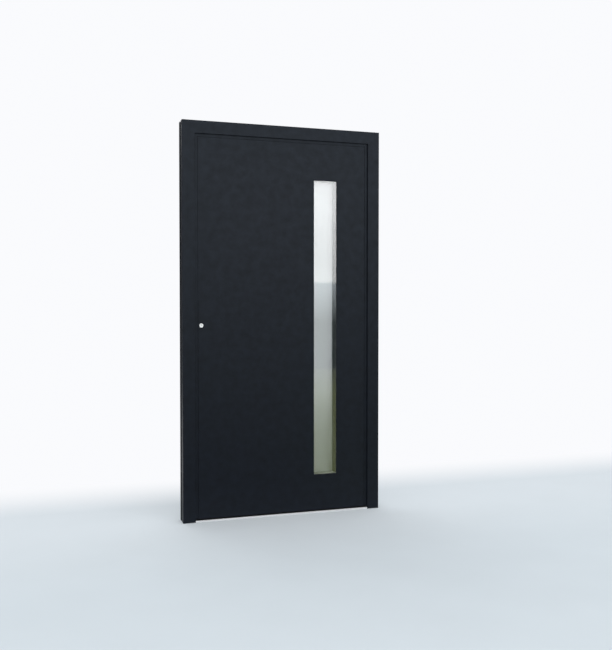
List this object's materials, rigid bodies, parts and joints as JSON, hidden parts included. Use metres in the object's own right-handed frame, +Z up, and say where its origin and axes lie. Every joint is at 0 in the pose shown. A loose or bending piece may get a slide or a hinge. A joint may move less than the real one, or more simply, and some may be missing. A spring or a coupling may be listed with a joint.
{
  "type": "aluminium front door",
  "caption": "Inward-opening aluminium front door with a thermally broken frame, a flush dark leaf, a narrow upright satin glass slot and a round lock cylinder.",
  "frame": {"origin": "floor level, in the middle of the frame's width and depth, on the underside of the threshold", "axes": "+X right seen from outside, +Y into the house, +Z up"},
  "size_m": [1.1, 0.1545, 2.1],
  "materials": {
    "powder_coat": "matte fine-texture powder coat",
    "anodised_aluminium": "satin anodised",
    "black_plastic": "matte",
    "black_rubber": "matte",
    "clear_glass": "polished",
    "satin_glass": "satin etched",
    "brushed_steel": "brushed",
    "nickel": "satin nickel",
    "insulation": "rigid foam"
  },
  "bodies": {
    "frame": {"frame_lock_jamb_outer": "powder_coat", "frame_lock_jamb_break": "black_plastic", "frame_lock_jamb_inner": "powder_coat", "frame_hinge_jamb_outer": "powder_coat", "frame_hinge_jamb_break": "black_plastic", "frame_hinge_jamb_inner": "powder_coat", "frame_head_outer": "powder_coat", "frame_head_break": "black_plastic", "frame_head_inner": "powder_coat", "frame_gasket": "black_rubber", "threshold_nosing": "anodised_aluminium", "threshold_core": "black_plastic", "threshold_inner_rail": "anodised_aluminium", "strike_plates": "brushed_steel", "hinge_lower_frame_half": "powder_coat", "hinge_middle_frame_half": "powder_coat", "hinge_upper_frame_half": "powder_coat", "hinge_pins": "brushed_steel"},
    "leaf": {"leaf_lock_stile_outer": "powder_coat", "leaf_lock_stile_inner": "powder_coat", "leaf_hinge_stile_outer": "powder_coat", "leaf_hinge_stile_inner": "powder_coat", "leaf_top_rail_outer": "powder_coat", "leaf_top_rail_inner": "powder_coat", "leaf_bottom_rail_outer": "powder_coat", "leaf_bottom_rail_inner": "powder_coat", "leaf_thermal_breaks": "black_plastic", "leaf_outer_skin": "powder_coat", "leaf_inner_skin": "powder_coat", "leaf_insulating_core": "insulation", "glazing_outer_pane": "clear_glass", "glazing_outer_spacer": "black_plastic", "glazing_middle_pane": "clear_glass", "glazing_middle_spacer": "black_plastic", "glazing_inner_pane": "satin_glass", "glazing_inside_trim": "powder_coat", "lock_cylinder": "nickel", "cylinder_rosette": "brushed_steel", "lever_rosette": "brushed_steel", "inside_lever": "brushed_steel", "lock_faceplate": "brushed_steel", "lock_bolts": "nickel", "hinge_lower_leaf_half": "powder_coat", "hinge_middle_leaf_half": "powder_coat", "hinge_upper_leaf_half": "powder_coat"}
  },
  "joints": [
    {"name": "leaf_swing", "type": "hinge", "parent": "frame", "child": "leaf", "pos_m": [0.504, 0.057, 1.05], "axis": [0, 0, -1], "range_deg": [0, 110]}
  ]
}
